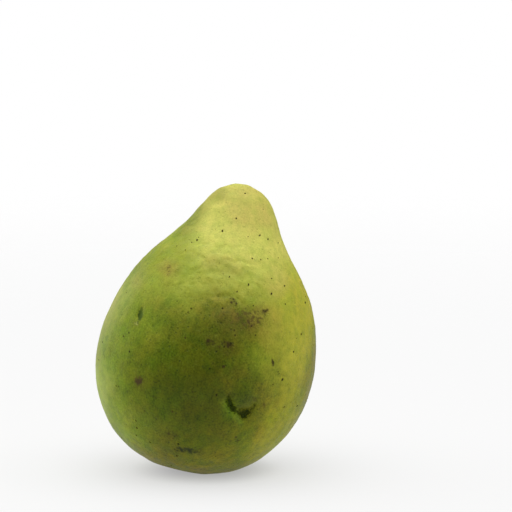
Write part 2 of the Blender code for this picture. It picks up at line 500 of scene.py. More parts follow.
# Painted shade, with a painted reflection of green fruit nearby, for the left edge of the neck
NECK_RIM_SHADE = (0.12, 0.155, 0.001, 1.0)
PEACH = (0.63, 0.50, 0.125, 1.0)
BRUISE = (0.13, 0.10, 0.016, 1.0)
OLIVE_BROWN = (0.15, 0.125, 0.004, 1.0)
LEAF_GREEN = (0.10, 0.16, 0.004, 1.0)
# A painted highlight: the bright green of the crease's lit lower lip
LIP_HIGHLIGHT_GREEN = (0.17, 0.24, 0.012, 1.0)
# Partly the lobe's own dark green, partly painted shade
LOBE_GREEN_AND_SHADE = (0.048, 0.080, 0.006, 1.0)
SLIT_GREEN = (0.075, 0.125, 0.012, 1.0)
SLIT_DARK = (0.040, 0.078, 0.002, 1.0)
RIM_BROWN = (0.090, 0.062, 0.012, 1.0)
ROSY = (0.34, 0.24, 0.050, 1.0)
LOW_YELLOW = (0.34, 0.335, 0.015, 1.0)
SCUFF_BROWN = (0.100, 0.076, 0.014, 1.0)
SCAB_BROWN = (0.070, 0.044, 0.014, 1.0)
CORK_BROWN = (0.042, 0.030, 0.005, 1.0)
DARK_GREEN = (0.024, 0.032, 0.008, 1.0)
# Partly the crease's own dark green, partly painted shade in its groove
CREASE_GREEN_AND_SHADE = (0.024, 0.044, 0.006, 1.0)
HALO_TINT = (0.62, 0.46, 0.60, 1.0)
PORE_TINT = (0.45, 0.55, 0.40, 1.0)
GREEN_TINT = (0.84, 1.01, 0.76, 1.0)
WARM_TINT = (1.15, 1.0, 1.18, 1.0)

# Blotches: turn, height, half width, half height, tilt in degrees, strength and colour
BLOTCHES = (
    (-62, 36, 28, 48, 0, 0.9, LEFT_GREEN),
    (-50, 72, 16, 16, 0, 0.9, SHOULDER_GREEN),
    # Partly a real waxy bloom, partly a painted rim light: paler along the left edge, where the white round
    # it would be reflected
    (-88, 50, 23, 30, 0, 1.0, BLOOM_AND_SHEEN),
    (57, 55, 23, 36, 0, 0.9, FLANK_YELLOW),
    # Partly the flank's own olive-gold, partly painted shade: darker at the right edge, where other fruit
    # would block the light
    (88, 44, 20, 34, 0, 0.8, FLANK_GOLD_AND_SHADE),
    (66, 21, 23, 24, 0, 0.9, LOW_YELLOW),
    # Partly a paler bloom, partly painted light: the lower left, open to the white floor and sides, is
    # lighter
    (-78, 20, 21, 17, 0, 1.0, LOW_BLOOM_AND_SHEEN),
    (-42, 13, 22, 13, 0, 0.9, LOW_GREEN),
    # Partly the belly's own dark green, partly painted shade: the front, where the camera stands and the
    # light is dim, is darker
    (-4, 28, 27, 26, 0, 1.0, BELLY_GREEN_AND_SHADE),
    (2, 46, 19, 14, 0, 0.85, BELLY_OLIVE_AND_SHADE),
    (4, 14, 27, 12, 0, 0.35, LOW_OLIVE),
    (-30, 34, 14, 18, 0, 0.4, MOSS_GREEN),
    (-22, 20, 12, 12, 0, 0.3, MOSS_GREEN),
    (-27, 51, 11, 8, 0, 0.4, BELLY_OLIVE_AND_SHADE),
    (-10, 8, 14, 8, 0, 0.4, LOW_OLIVE),
    (2, 57, 13, 7, 0, 0.5, OLIVE_BROWN),
    (5, 45, 9, 5, 0, 0.2, BRUISE),
    (14, 34, 10, 8, 0, 0.2, OLIVE_BROWN),
    (40, 36, 6, 12, 0, 0.2, LOW_OLIVE),
    (28, 32, 9, 12, 0, 0.5, BELLY_GREEN_AND_SHADE),
    (38, 44, 5, 14, 0, 0.25, LEAF_GREEN),
    (10, 54, 12, 6, -15, 0.5, BRUISE),
    (21, 56, 9, 6, 30, 0.4, BRUISE),
    (33, 55, 9, 9, 0, 0.2, ROSY),
    (-39, 66, 7, 4, 0, 0.38, ROSY),
    (-3, 70, 9, 5, 0, 0.3, OLIVE_BROWN),
    (36, 23, 9, 8, 0, 0.45, LOW_OLIVE),
    (19, 24.5, 4.5, 4, 0, 0.6, LEAF_GREEN),
    # Partly the lobe's own dark green, partly painted shade on the lobe above the crease
    (24.5, 30.2, 5.5, 4.0, 0, 0.5, LOBE_GREEN_AND_SHADE),
    (-44, 48, 4, 7, 0, 0.35, LEAF_GREEN),
    # Painted shade and a painted green reflection: an olive band along the neck's left edge
    (-74, 68, 13, 18, 0, 0.55, NECK_RIM_SHADE),
    (-74, 85, 13, 13, 0, 0.75, NECK_RIM_SHADE),
    (-58, 94, 8, 5, 0, 0.5, NECK_RIM_SHADE),
    (-95, 74, 18, 18, 0, 0.4, SHOULDER_GREEN),
    (20, 90, 11, 9, 0, 0.4, PEACH),
    (40, 70, 8, 8, 0, 0.4, PEACH),
    (-60, 56, 8, 15, -10, 0.5, BLOOM_AND_SHEEN),
    (-20, 48, 7, 7, 0, 0.45, MOSS_GREEN),
    (-7, 39, 8, 10, 0, 0.3, MOSS_GREEN),
    (-7, 50, 5, 5, 0, 0.3, OLIVE_BROWN),
    (-12, 18, 9, 6, 0, 0.3, LEAF_GREEN),
    (23, 51, 6, 6, 0, 0.3, OLIVE_BROWN),
)

# Scabs and stains: turn, height, half width, half height, tilt, strength and colour
STAINS = (
    (18.0, 56.0, 11.5, 7.0, 15, 0.66, BRUISE),
    (8.0, 54.0, 8.0, 4.0, -10, 0.50, BRUISE),
    (3.0, 9.4, 8.0, 3.0, 12, 0.45, LEAF_GREEN),
    (-9.5, 13.4, 4.2, 2.6, 0, 0.62, CORK_BROWN),
    (4.0, 9.6, 8.5, 1.5, 10, 0.92, DARK_GREEN),
    (11.3, 43.9, 3.4, 2.4, 0, 0.65, BRUISE),
    (-32.6, 28.0, 3.0, 2.7, 0, 1.10, BRUISE),
    (16.2, 57.2, 4.4, 1.6, 30, 0.78, SCUFF_BROWN),
    (19.5, 55.4, 4.0, 1.6, 35, 0.80, SCUFF_BROWN),
    (-32.3, 27.8, 2.0, 1.8, 0, 1.15, SCAB_BROWN),
    (0.5, 45.6, 2.9, 1.7, 10, 0.94, CORK_BROWN),
    (9.8, 46.3, 3.0, 1.7, -10, 0.88, CORK_BROWN),
    (8.6, 59.9, 2.6, 1.8, -20, 0.92, CORK_BROWN),
    (28.2, 59.2, 3.0, 1.4, 35, 1.00, CORK_BROWN),
    (20.2, 53.7, 1.4, 1.6, 20, 0.95, SCAB_BROWN),
    (25.0, 56.1, 3.0, 2.4, 30, 0.78, SCUFF_BROWN),
    (-39.1, 23.5, 1.8, 1.3, 0, 0.80, DARK_GREEN),
    (-26.6, 24.5, 1.1, 1.1, 0, 0.80, DARK_GREEN),
    (-21.5, 24.2, 1.6, 1.2, 0, 0.60, CORK_BROWN),
    (36.8, 43.7, 0.9, 2.0, 15, 1.50, CORK_BROWN),
    (11.2, 6.3, 1.2, 1.0, 0, 0.80, DARK_GREEN),
    (31.3, 16.9, 4.0, 1.6, -15, 0.55, CORK_BROWN),
    (39.4, 22.3, 1.6, 1.3, 0, 0.60, LEAF_GREEN),
    (38.3, 29.5, 2.0, 1.4, 0, 0.70, CORK_BROWN),
    (31.1, 31.0, 1.9, 1.2, 0, 0.80, CORK_BROWN),
    (-42.4, 46.0, 1.9, 0.9, 0, 1.15, BLOOM_AND_SHEEN),
    (-42.2, 49.2, 1.5, 3.4, 12, 1.60, SLIT_GREEN),
    (-42.4, 48.2, 1.1, 2.3, 12, 1.90, SLIT_DARK),
    (-38.6, 66.0, 1.8, 1.6, 0, 0.80, BRUISE),
    (-36.0, 64.0, 1.6, 1.8, 0, 0.75, BRUISE),
)

# The browned rims of the two pits: where they lie, by distance from the axis and by height, and how
# strong they are, in patches
CALYX_RIM = ((10.5, 7.0), (14.0, 8.0), (0.5, 0.9))
STEM_RIM = ((5.0, 2.8), (85.0, 90.0), (0.4, 0.8))
RIM_PATCHES = (0.3, 0.6)

# Noises of the skin's colour and relief, with sizes in millimetres and what each is worth
CLOUD_SIZE = 16.0
CLOUD_SHARE = 0.12
PATCH_SEED = (31.0, 17.0, 5.0)
PATCH_SIZE = 6.0
PATCH_SHARE = 0.10
PATCHY_RANGE = (0.70, 1.15, 0.65, 1.0)
BLOTCH_STRAY = (9.0, 2.4, 3.0)
STAIN_STRAY = (1.6, 0.6, 3.0)
CREASE_STRAY = (1.2, 0.7, 4.0)
# Width and strength of the painted highlight along the crease's lower lip
LIP_HIGHLIGHT_WIDTH = 1.3
LIP_HIGHLIGHT_STRENGTH = 0.75
HUE_SEED = (7.0, 53.0, 29.0)
HUE_SIZE = 7.0
HUE_TINT = 1.7
MOTTLE_SIZE = 2.4
MOTTLE_TINT = 0.7
MOTTLE_CONTRAST = 0.50
FLECK_SIZE = 0.6
FLECK_CONTRAST = 0.80
STREAK_STRETCH = (1.0, 1.0, 0.12)
STREAK_SIZE = 2.0
STREAK_TINT = 0.5
STREAK_CONTRAST = 0.35
TINT_RANGE = (-0.8, 0.8)
GREEN_RANGE = (0.12, 0.42)
BOLDNESS_RANGE = (1.8, 0.65)
PORE_SPACING = 1.5
PORE_EDGE = (0.30, 0.12)
PORES_KEPT = (0.25, 0.70)
PORE_STRENGTH = 0.35
SCAB_SEED = (19.0, 3.0, 61.0)
SCAB_SIZE = 1.0
SCAB_CONTRAST = 2.6
SCAB_EDGE = (0.45, 1.15)
SCAB_STRENGTH = 0.92
HALO_STRENGTH = 0.3
CUT_SIZE = 0.8
CUT_NOISE_RANGE = (0.34, 0.66)
CUT_WIDTHS = (0.4, 1.3)
CUT_LINE_SHARE = 0.6
CUT_CONTRAST = 1.6
CUT_EDGE = (0.10, 1.15)
CUT_FLECK_RANGE = (-0.2, 0.2)
CUT_STRENGTHS = (0.62, 0.95)
SKIN_ROUGHNESS = 0.46
DULLER_SHARE = 0.2
SKIN_GLOSS = 0.12
GRAIN_SIZE = 0.5
FIBRE_SIZE = 0.8
GRAIN_RELIEF = 0.3
FLECK_RELIEF = 0.5
PORE_RELIEF = 0.5
CUT_RELIEF = 5
PEEL_BUMP = (0.8, 0.22)


def spot(skin, turn, height, wide, tall, tilt=0.0, strength=1.0):
    """An oval of the unrolled skin: its strength in the middle, and 0 at its half width and height."""
    offset = skin.vector("SUBTRACT", map_point(turn, height))
    if tilt:
        turned = {"Vector": offset, "Axis": (0.0, 1.0, 0.0), "Angle": math.radians(tilt)}
        offset = skin.node("ShaderNodeVectorRotate", {"rotation_type": "AXIS_ANGLE"}, turned)
    reach = offset.vector("DIVIDE", (wide, 1.0, tall)).vector("LENGTH")
    return reach.between(1.0, 0.25, 0.0, strength)


def strayed(vector, place, size, reach, detail):
    """A place on the unrolled skin moved at random by up to a reach, for uneven edges."""
    stray = place.jitter(size, detail)
    return vector.vector("ADD", stray.vector("MULTIPLY", (2 * reach, 0.0, 2 * reach)))


def browned(girth, height, patches, girths, heights, strengths):
    """How brown the rim of a pit is."""
    rim = girth.between(*girths) * height.between(*heights)
    return rim * patches.between(*RIM_PATCHES, *strengths)


def skin_tone(place):
    """Colour of the skin before its fine grain: from end to end, with the blotches over it; parts of both are
    painted shade or a painted highlight.
    """
    skin, girth = skin_map(place)
    height = place.parts()[2]
    patches = place.vector("ADD", PATCH_SEED).noise(PATCH_SIZE, 5.0)
    uneven = place.swing(CLOUD_SIZE, 4.0) * CLOUD_SHARE + (patches - 0.5) * PATCH_SHARE
    ramp_place = height / FRUIT_LENGTH + uneven
    tone = place.node("ShaderNodeValToRGB", {"stops": SKIN_AND_SHADE_RAMP}, {"Fac": ramp_place})
    soft_skin = strayed(skin, place, *BLOTCH_STRAY)
    patchy = (patches + place.noise(MOTTLE_SIZE, 5.0)).between(*PATCHY_RANGE)
    for turn, level, wide, tall, tilt, strength, blotch in BLOTCHES:
        tone = (spot(soft_skin, turn, level, wide, tall, tilt, strength) * patchy).blend(tone, blotch)
    # A painted highlight: the crease's lower lip is painted a brighter green, as if lit from above
    tone = (groove(path_distance(soft_skin, CREASE_LIP_HIGHLIGHT), LIP_HIGHLIGHT_WIDTH) * LIP_HIGHLIGHT_STRENGTH).blend(tone, LIP_HIGHLIGHT_GREEN)
    rims = browned(girth, height, patches, *CALYX_RIM) + browned(girth, height, patches, *STEM_RIM)
    return rims.blend(tone, RIM_BROWN)


def skin_stain(place):
    """How thick the stains lie on the skin, and their colour."""
    skin, _ = skin_map(place)
    rough_skin = strayed(skin, place, *STAIN_STRAY)
    thickness = None
    colour = CORK_BROWN
    for turn, level, wide, tall, tilt, strength, stain in STAINS:
        oval = spot(rough_skin, turn, level, wide, tall, tilt, strength)
        thickness = oval if thickness is None else thickness.math("MAXIMUM", oval)
        colour = oval.between(0.0, 0.1).blend(colour, stain)
    return thickness, colour


def skin_tree():
    inputs = {"Outline": "NodeSocketObject", "Skin material": "NodeSocketMaterial"}
    start, sizes = new_tree("guava_skin", inputs, SKIN_SIZES)
    formed = set_place(ball_mesh(start, SKIN_SIDES, SKIN_RINGS), turned_form(start, sizes))
    dented = pushed(formed, start.node("GeometryNodeInputNormal").scaled(skin_relief(start, sizes)))
    place = start.position()
    thickness, stain = skin_stain(place)
    toned = painted(dented, "tone", "FLOAT_COLOR", skin_tone(place))
    stained = painted(painted(toned, "stain", "FLOAT_COLOR", stain), "stain_thickness", "FLOAT", thickness)
    finish_piece(stand_up(stained), sizes["Skin material"])
    return start.tree


def new_material(name):
    material = bpy.data.materials.new(name)
    material.use_nodes = True
    material.node_tree.nodes.clear()
    return material, Socket(material.node_tree)


def finish_material(colour, roughness, gloss, normal=None):
    values = {"Base Color": colour, "Roughness": roughness, "Specular IOR Level": gloss}
    if normal is not None:
        values["Normal"] = normal
    shader = colour.node("ShaderNodeBsdfPrincipled", {}, values)
    colour.node("ShaderNodeOutputMaterial", {}, {"Surface": shader})


def bump(height, strength, reach):
    """The normal of a fine relief, whose height of 1 reaches so many millimetres."""
    values = {"Strength": strength, "Distance": reach * MM, "Height": height}
    return height.node("ShaderNodeBump", {}, values)


def carried(start, name, output):
    """A value or a colour that painted() gave to the points."""
    return start.node("ShaderNodeAttribute", {"attribute_name": name}, {}, output)


def fruit_place(start):
    """Place in the fruit's own frame, in millimetres."""
    values = {"Vector": start.node("ShaderNodeTexCoord", {}, {}, "Object"), "Location": POLE_PLACE,
              "Rotation": FRUIT_TURN, "Scale": (MM, MM, MM)}
    return start.node("ShaderNodeMapping", {"vector_type": "TEXTURE"}, values)


def skin_material():
    material, start = new_material("guava_skin")
    place = fruit_place(start)
    skin, _ = skin_map(place)
    lengthwise = place.vector("MULTIPLY", STREAK_STRETCH)
    hue = place.vector("ADD", HUE_SEED).swing(HUE_SIZE, 4.0)
    mottle = place.swing(MOTTLE_SIZE, 5.0)
    fleck = place.swing(FLECK_SIZE, 4.0)
    streaks = lengthwise.swing(STREAK_SIZE, 5.0)

    colour = carried(start, "tone", "Color")
    boldness = colour.parts()[1].between(*GREEN_RANGE, *BOLDNESS_RANGE)
    tint = (hue * HUE_TINT + streaks * STREAK_TINT + mottle * MOTTLE_TINT) * boldness
    colour = colour.tinted(tint.between(*TINT_RANGE).blend(GREEN_TINT, WARM_TINT))
    contrast = mottle * MOTTLE_CONTRAST + fleck * FLECK_CONTRAST + streaks * STREAK_CONTRAST
    colour = colour.tinted(1 + contrast * boldness)

    pore_values = {"Vector": place, "Scale": 1 / PORE_SPACING}
    pores = start.node("ShaderNodeTexVoronoi", {}, pore_values, "Distance")
    kept = pores.beside("Color").parts()[0].between(*PORES_KEPT)
    stipple = pores.between(*PORE_EDGE) * kept
    colour = (stipple * boldness * PORE_STRENGTH).blend(colour, colour.tinted(PORE_TINT))

    thickness = carried(start, "stain_thickness", "Fac")
    scabby = place.vector("ADD", SCAB_SEED).swing(SCAB_SIZE, 5.0) * SCAB_CONTRAST
    stained = (thickness + scabby).between(*SCAB_EDGE) * SCAB_STRENGTH
    halo = thickness.between(0.0, 1.0) * HALO_STRENGTH
    colour = halo.blend(colour, colour.tinted(HALO_TINT))
    colour = stained.blend(colour, carried(start, "stain", "Color"))

    # The crease is painted dark: partly its own dark green, partly painted shade in the groove
    crease_skin = strayed(skin, place, *CREASE_STRAY)
    width = place.noise(CUT_SIZE, 4.0).between(*CUT_NOISE_RANGE, *CUT_WIDTHS)
    cut = creased(crease_skin, width * CUT_LINE_SHARE, width)
    dark = (cut + fleck * CUT_CONTRAST).between(*CUT_EDGE)
    strength = fleck.between(*CUT_FLECK_RANGE, *CUT_STRENGTHS)
    colour = (dark * strength).blend(colour, CREASE_GREEN_AND_SHADE)

    roughness = SKIN_ROUGHNESS + (mottle + dark + stained) * DULLER_SHARE
    fibres = place.noise(GRAIN_SIZE) + lengthwise.noise(FIBRE_SIZE)
    grain = fleck * FLECK_RELIEF + fibres * GRAIN_RELIEF
    peel = grain - stipple * PORE_RELIEF - dark * CUT_RELIEF
    finish_material(colour, roughness, SKIN_GLOSS, bump(peel, *PEEL_BUMP))
    return material


outline = make_outline(PIT_OUTLINE + BODY_OUTLINE + NECK_OUTLINE + STEM_OUTLINE)
outline_line = [vertex.co.copy() for vertex in outline.to_mesh().vertices]
outline.to_mesh_clear()
skin_sizes = {"Outline": outline, "Skin material": skin_material(), **SKIN_SIZES}
skin = grow("skin", skin_tree(), skin_sizes)
bpy.data.objects.remove(outline, do_unlink=True)
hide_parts("fruit")
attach(skin, "root")

# The calyx is what is left of the flower: a small corky disc with the stubs of the style and the
# stamens, and five sepals that have dried to brittle brown flaps folded in over them. It grew on the
# fruit, in the pit at the lower end, and the sepals are more open on the side off the floor.

DISC_OUTLINE = ((0.0, 1.5), (0.45, 1.55), (0.6, 2.2), (1.4, 2.3), (4.6, 2.1), (5.6, 2.15), (5.8, 2.5),
                (5.0, 2.95), (0.0, 3.0))
DISC_SIDES = 120
DISC_RINGS = 60
NOTCH_SIZE = 0.35
NOTCH_RANGE = (0.35, 0.75)
DISC_LEVEL = 3.0
DISC_WRINKLES = 17
WRINKLE_BEND = (2.5, 9)
WRINKLE_START = (0.8, 2.5)
WRINKLE_SHARE = 0.5
DISC_GRAIN = (0.9, 2.0)
SEPAL_PATH = ((5.3, 2.9), (5.2, 2.1), (4.6, 1.7), (3.5, 1.55), (2.0, 1.7))
SEPAL_POINTS = (21, 41)
SEPAL_REACH = 4.4
SEPAL_SHUT_SIDE = math.radians(25)
BLADE_STRIDES = (1.3, 2.2, 7)
TIP_STRIDES = (2.4, 5)
TIP_SIZE = 1.0
TEAR_LEVEL = 0.35
TEAR_START = (0.2, 1.0)
TAPER_RANGE = (0.1, 1.1)
TAPER = 0.75
EDGE_SIZE = 0.5
CRINKLE_SIZE = 0.8
CRINKLE_START = (0.0, 0.5)
CURL_STEP = 2.4
OPENNESS = 1.2
LIFT_STEP = 5.3
LIFT_STRAY = 0.5
TURN_STEP = 3.7
TURN_STRAY = 0.07
EDGE_THINNING = 0.6
STAMEN_FOOT = 2.35
STAMEN_REACH = (1.0, 3.2)
STAMEN_LEAN = 0.45
STAMEN_TAPER = 0.5
STAMEN_SIDES = 8
STAMEN_STEPS = 6
BEND_SIZE = 0.9
STAMEN_BEND = 0.5
GOLDEN_ANGLE = math.radians(137.5)
DRY_DARK = (0.022, 0.012, 0.006, 1.0)
DRY_BROWN = (0.19, 0.115, 0.050, 1.0)
DRY_PALE = (0.27, 0.20, 0.10, 1.0)
DRY_FIBRES = 0.45
FIBRES_ROUND = 5
FIBRES_OUTWARD = 0.4
DRY_BLOTCHES = 1.8
BLOTCH_SHARE = 0.5
FIBRE_SHARE = 0.7
DRY_RANGE = (0.45, 0.78)
PALE_SIZE = 0.7
PALE_EDGE = (0.58, 0.70)
OUTER_RANGE = (1.5, 4.0)
OUTER_LIGHT = 0.5
FACE_RANGE = (2.2, 1.5)
FACE_LIGHT = 0.6
LEAST_LIGHT = 0.15
DRY_ROUGHNESS = 0.75
DRY_GLOSS = 0.3
DRY_BUMP = (0.8, 0.2)
CALYX_SIZES = {
    "Sepal count": 5,
    "Sepal width": 5.0,
    "Sepal thickness": 0.42,
    "Sepal lift": 0.35,
    "Curl": 0.6,
    "Crinkle": 0.9,
    "Raggedness": 0.9,
    "Wrinkle height": 0.22,
    "Rim notches": 0.14,
    "Stamen count": 60,
    "Stamen length": 1.2,
    "Stamen width": 0.14,
}


def stored(start, name):
    """A number that painted() gave to the points."""
    settings = {"data_type": "FLOAT"}
    return start.node("GeometryNodeInputNamedAttribute", settings, {"Name": name}, "Attribute")


def joined(first, *others):
    """Several geometries as one, in their order."""
    whole = first.node("GeometryNodeJoinGeometry", {}, {"Geometry": first})
    for other in others:
        whole.tree.links.new(other.output, whole.output.node.inputs["Geometry"])
    return whole


def calyx_disc(start, sizes):
    angle, radius, height = ball_on_outline(start, sizes["Disc outline"])
    rim = start.position().vector("MULTIPLY", (1.0, 1.0, 0.0)).noise(NOTCH_SIZE, 3.0)
    radius = radius * (1 - rim.between(*NOTCH_RANGE) * sizes["Rim notches"])
    across = radius * angle.math("COSINE")
    back = radius * angle.math("SINE")
    around = start.xyz(across, back, DISC_LEVEL)
    bend_size, bend = WRINKLE_BEND
    wave = (angle * DISC_WRINKLES + around.noise(bend_size) * bend).math("SINE")
    wrinkles = wave * radius.between(*WRINKLE_START) * WRINKLE_SHARE
    grain_size, grain_share = DISC_GRAIN
    rough = around.swing(grain_size, 4.0) * grain_share + wrinkles
    ball = ball_mesh(start, DISC_SIDES, DISC_RINGS)
    return set_place(ball, (across, back, height + rough * sizes["Wrinkle height"]))


def calyx_sepals(start, sizes):
    """Blades of even thickness, each set along the sepal's path at its own place round the axis."""
    across_points, along_points = SEPAL_POINTS
    blade_values = {"Size": (2.0, 1.0, 1.0), "Vertices X": across_points, "Vertices Y": along_points,
                    "Vertices Z": 2}
    blade = start.node("GeometryNodeMeshCube", {}, blade_values, "Mesh")
    single = start.node("GeometryNodeGeometryToInstance", {}, {"Geometry": blade})
    copy_values = {"Geometry": single, "Amount": sizes["Sepal count"]}
    copies = start.node("GeometryNodeDuplicateElements", {"domain": "INSTANCE"}, copy_values, "Geometry")
    blades = realized(painted(copies, "sepal", "FLOAT", copies.beside("Duplicate Index"), "INSTANCE"))

    # Side runs from -1 to 1 across a blade, along from 0 to 1, and face from -0.5 to 0.5
    number = stored(start, "sepal")
    side, along, face = start.position().parts()
    along = along + 0.5
    across_stride, along_stride, next_stride = BLADE_STRIDES
    blade_place = start.xyz(side * across_stride, along * along_stride, number * next_stride)
    tip_place = start.xyz(side * TIP_STRIDES[0], number * TIP_STRIDES[1], 0.0)
    torn = (tip_place.noise(TIP_SIZE, 3.0) - TEAR_LEVEL) * sizes["Raggedness"]
    way = along * (1 - torn * along.between(*TEAR_START)).math("MINIMUM", 1.0)
    middle = outline_sample(sizes["Sepal outline"], way)
    radius, _, height = middle.parts()
    tangent_across, _, tangent_up = middle.beside("Tangent").parts()
    edge_noise = blade_place.swing(EDGE_SIZE, 3.0) * sizes["Raggedness"] * side.math("ABSOLUTE")
    taper = 1 - along.between(*TAPER_RANGE) * TAPER
    sideways = side * taper * (1 + edge_noise) * sizes["Sepal width"] / 2
    crumple = blade_place.swing(CRINKLE_SIZE, 3.0) * sizes["Crinkle"]
    crinkle = crumple * along.between(*CRINKLE_START)
    curl = side * side * (number * CURL_STEP + 1).math("SINE") * sizes["Curl"] * along
    thickness = face * sizes["Sepal thickness"] * (1 - side * side * EDGE_THINNING)
    offset = crinkle + curl + thickness
    angle = number * math.tau / sizes["Sepal count"]
    open_share = OPENNESS - (angle - SEPAL_SHUT_SIDE).math("COSINE")
    own_share = (number * LIFT_STEP).math("SINE") * LIFT_STRAY
    lift = (open_share + own_share).math("MAXIMUM", 0.0) * along * sizes["Sepal lift"] / 2
    turn = angle + sideways / SEPAL_REACH + (number * TURN_STEP).math("SINE") * TURN_STRAY
    reach = radius + tangent_up * offset
    return set_place(blades, (reach * turn.math("COSINE"), reach * turn.math("SINE"),
                              height - tangent_across * offset - lift))


def calyx_stamens(start, sizes):
    """Short bristles that stand round the style, each leaning its own way."""
    number = start.node("GeometryNodeInputIndex")
    near, far = STAMEN_REACH
    reach = near + (number / sizes["Stamen count"]).math("SQRT") * (far - near)
    angle = number * GOLDEN_ANGLE
    foot = start.xyz(reach * angle.math("COSINE"), reach * angle.math("SINE"), STAMEN_FOOT)
    feet = start.node("GeometryNodePoints", {}, {"Count": sizes["Stamen count"], "Position": foot})
    leans = {0: (math.pi - STAMEN_LEAN, -STAMEN_LEAN, 0.0), 1: (math.pi + STAMEN_LEAN, STAMEN_LEAN, math.tau)}
    lean = start.node("FunctionNodeRandomValue", {"data_type": "FLOAT_VECTOR"}, leans)
    bristle_values = {"Vertices": STAMEN_SIDES, "Side Segments": STAMEN_STEPS,
                      "Radius Top": sizes["Stamen width"] * STAMEN_TAPER,
                      "Radius Bottom": sizes["Stamen width"], "Depth": sizes["Stamen length"]}
    bristle = start.node("GeometryNodeMeshCone", {}, bristle_values, "Mesh")
    placed_values = {"Points": feet, "Instance": bristle, "Rotation": lean}
    placed = start.node("GeometryNodeInstanceOnPoints", {}, placed_values)
    return pushed(realized(placed), start.position().jitter(BEND_SIZE).scaled(STAMEN_BEND))


def calyx_tree():
    inputs = {"Disc outline": "NodeSocketObject", "Sepal outline": "NodeSocketObject",
              "Calyx material": "NodeSocketMaterial"}
    start, sizes = new_tree("calyx", inputs, CALYX_SIZES)
    whole = joined(calyx_disc(start, sizes), calyx_sepals(start, sizes), calyx_stamens(start, sizes))
    finish_piece(stand_up(whole), sizes["Calyx material"])
    return start.tree


def calyx_material():
    material, start = new_material("dried_calyx")
    place = fruit_place(start)
    across, back, height = place.parts()
    reach = (across * across + back * back).math("SQRT")
    around = back.math("ARCTAN2", across) * FIBRES_ROUND
    fibres = start.xyz(around, reach * FIBRES_OUTWARD, height).noise(DRY_FIBRES, 5.0)
    blotches = place.noise(DRY_BLOTCHES, 4.0)
    dry = (blotches * BLOTCH_SHARE + fibres * FIBRE_SHARE).between(*DRY_RANGE)
    colour = dry.blend(DRY_DARK, DRY_BROWN)
    colour = place.noise(PALE_SIZE, 4.0).between(*PALE_EDGE).blend(colour, DRY_PALE)
    # Painted shade: the calyx's colour is darker towards its middle and deeper in the pit
    shade = reach.between(*OUTER_RANGE) * OUTER_LIGHT + height.between(*FACE_RANGE) * FACE_LIGHT
    roughness = DRY_ROUGHNESS + (blotches - 0.5) * 0.3
    finish_material(colour.tinted(shade + LEAST_LIGHT), roughness, DRY_GLOSS, bump(fibres, *DRY_BUMP))
    return material


disc_outline = make_outline(DISC_OUTLINE)
sepal_outline = make_outline(SEPAL_PATH)
calyx_sizes = {"Disc outline": disc_outline, "Sepal outline": sepal_outline,
               "Calyx material": calyx_material(), **CALYX_SIZES}
calyx = grow("calyx", calyx_tree(), calyx_sizes)
for guide in (disc_outline, sepal_outline):
    bpy.data.objects.remove(guide, do_unlink=True)
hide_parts("calyx")
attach(calyx, "root")

# The stem scar is the corky plug left where the stalk broke away: a cracked, dry dome in the pit at the
# top of the neck, grown on the fruit.

SCAR_OUTLINE = ((0.0, 96.5), (1.5, 96.55), (2.1, 96.9), (1.8, 97.4), (0.9, 97.5), (0.0, 97.3))
SCAR_SIDES = 96
SCAR_RINGS = 60
CRACK_DENSITY = 0.9
CRACK_WIDTH = 0.12
CORK_GRAIN = 0.7
CORK_FLECKS = 0.5
FLECKS_RANGE = (0.3, 0.7)
CORK_CLOUDS = 1.6
CLOUDS_EDGE = (0.5, 0.62)
CORK_ROUGHNESS = 0.85
CORK_GLOSS = 0.25
CORK_BUMP = (0.6, 0.1)
CORK_DARK = (0.085, 0.052, 0.024, 1.0)
CORK_PALE = (0.26, 0.18, 0.10, 1.0)
CORK_STAIN = (0.035, 0.022, 0.012, 1.0)
SCAR_SIZES = {
    "Crack depth": 0.35,
    "Grain height": 0.22,
}


def scar_tree():
    inputs = {"Outline": "NodeSocketObject", "Cork material": "NodeSocketMaterial"}
    start, sizes = new_tree("stem_scar", inputs, SCAR_SIZES)
    angle, radius, height = ball_on_outline(start, sizes["Outline"])
    across, height = crowned(radius * angle.math("COSINE"), height)
    ball = ball_mesh(start, SCAR_SIDES, SCAR_RINGS)
    formed = set_place(ball, (across, radius * angle.math("SINE"), height))
    place = start.position()
    crack_values = {"Vector": place, "Scale": CRACK_DENSITY}
    cells = start.node("ShaderNodeTexVoronoi", {"feature": "DISTANCE_TO_EDGE"}, crack_values)
    cracks = cells.between(CRACK_WIDTH, 0.0) * sizes["Crack depth"]
    relief = place.swing(CORK_GRAIN, 4.0) * sizes["Grain height"] - cracks
    rough = pushed(formed, start.node("GeometryNodeInputNormal").scaled(relief))
    finish_piece(stand_up(rough), sizes["Cork material"])
    return start.tree


def cork_material():
    material, start = new_material("corky_scar")
    place = fruit_place(start)
    flecks = place.noise(CORK_FLECKS, 5.0)
    colour = flecks.between(*FLECKS_RANGE).blend(CORK_DARK, CORK_PALE)
    colour = place.noise(CORK_CLOUDS, 3.0).between(*CLOUDS_EDGE).blend(colour, CORK_STAIN)
    roughness = CORK_ROUGHNESS + (flecks - 0.5) * 0.2
    finish_material(colour, roughness, CORK_GLOSS, bump(flecks, *CORK_BUMP))
    return material


scar_outline = make_outline(SCAR_OUTLINE)
cork = cork_material()
scar = grow("stem_scar", scar_tree(), {"Outline": scar_outline, "Cork material": cork, **SCAR_SIZES})
bpy.data.objects.remove(scar_outline, do_unlink=True)
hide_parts("stem_scar")
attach(scar, "root")

# The specks are lenticels: dark corky dots, each standing a hair above the skin that it grew in. Some
# are where the photograph shows them, and the rest are scattered in loose groups.

